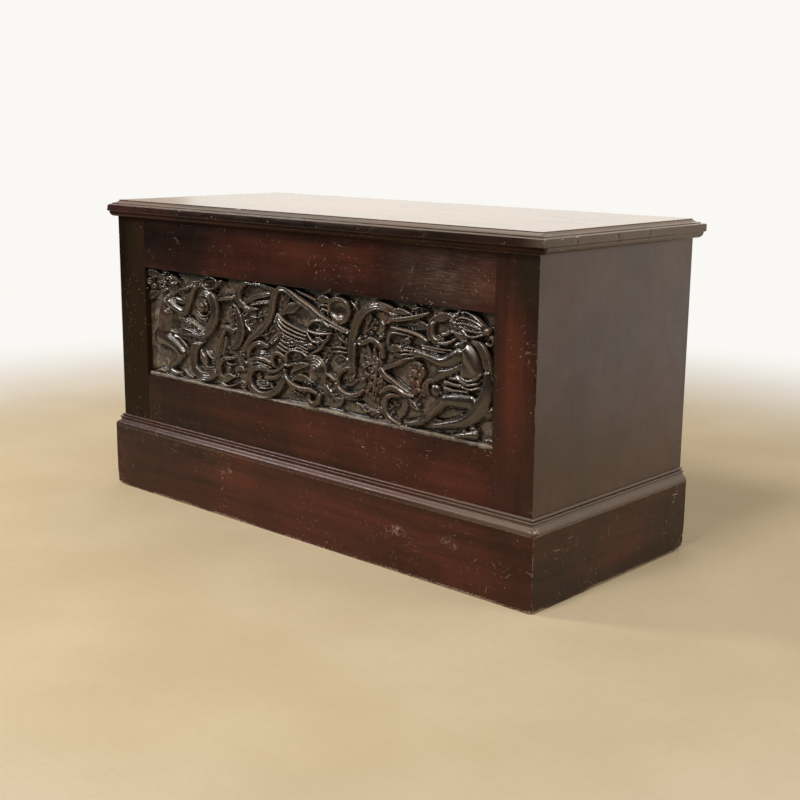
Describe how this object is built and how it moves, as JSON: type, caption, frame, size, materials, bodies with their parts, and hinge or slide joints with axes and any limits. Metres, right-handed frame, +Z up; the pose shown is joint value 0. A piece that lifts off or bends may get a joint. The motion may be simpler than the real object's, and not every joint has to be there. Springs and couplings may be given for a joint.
{
  "type": "cassone",
  "caption": "Long wooden chest with a framed, figure-carved front panel, plain ends, moulded plinth and a moulded lid hinged along its back.",
  "frame": {"origin": "on the floor, below the middle of the lid", "axes": "+X along the chest, -Y to the carved front, +Z up"},
  "size_m": [1.22, 0.519, 0.659],
  "materials": {
    "show_wood": "semi-gloss old varnish over dark red-brown stain, scratched and worn",
    "carving": "semi-gloss, rubbed high points, dust in the recesses",
    "inner_wood": "dry unpolished secondary wood",
    "brass": "dull aged brass",
    "iron": "dark steel screws"
  },
  "bodies": {
    "carcase": {"front_left_stile": "show_wood", "front_right_stile": "show_wood", "front_top_rail": "show_wood", "front_bottom_rail": "show_wood", "carved_panel": "carving", "left_end_board": "show_wood", "right_end_board": "show_wood", "back_board_1": "inner_wood", "back_board_2": "inner_wood", "back_board_3": "inner_wood", "floor_board_1": "inner_wood", "floor_board_2": "inner_wood", "floor_board_3": "inner_wood", "floor_cleat_front": "inner_wood", "floor_cleat_back": "inner_wood", "floor_cleat_left": "inner_wood", "floor_cleat_right": "inner_wood", "floor_bearer": "inner_wood", "corner_blocks": "inner_wood", "cleat_screws": "iron", "plinth_front": "show_wood", "plinth_left": "show_wood", "plinth_right": "show_wood", "base_moulding_front": "show_wood", "base_moulding_left": "show_wood", "base_moulding_right": "show_wood", "hinge_case_leaf_left": "brass", "hinge_case_leaf_right": "brass", "hinge_pin_left": "brass", "hinge_pin_right": "brass", "case_hinge_screws": "brass"},
    "lid": {"lid_board_1": "show_wood", "lid_board_2": "show_wood", "lid_board_3": "show_wood", "lid_board_4": "show_wood", "lid_batten_left": "inner_wood", "lid_batten_right": "inner_wood", "batten_screws": "iron", "hinge_lid_leaf_left": "brass", "hinge_lid_leaf_right": "brass", "lid_hinge_screws": "brass"}
  },
  "joints": [
    {"name": "lid_hinge", "type": "hinge", "parent": "carcase", "child": "lid", "pos_m": [0, 0.2488, 0.623], "axis": [-1, 0, 0], "range_deg": [0, 100]}
  ]
}
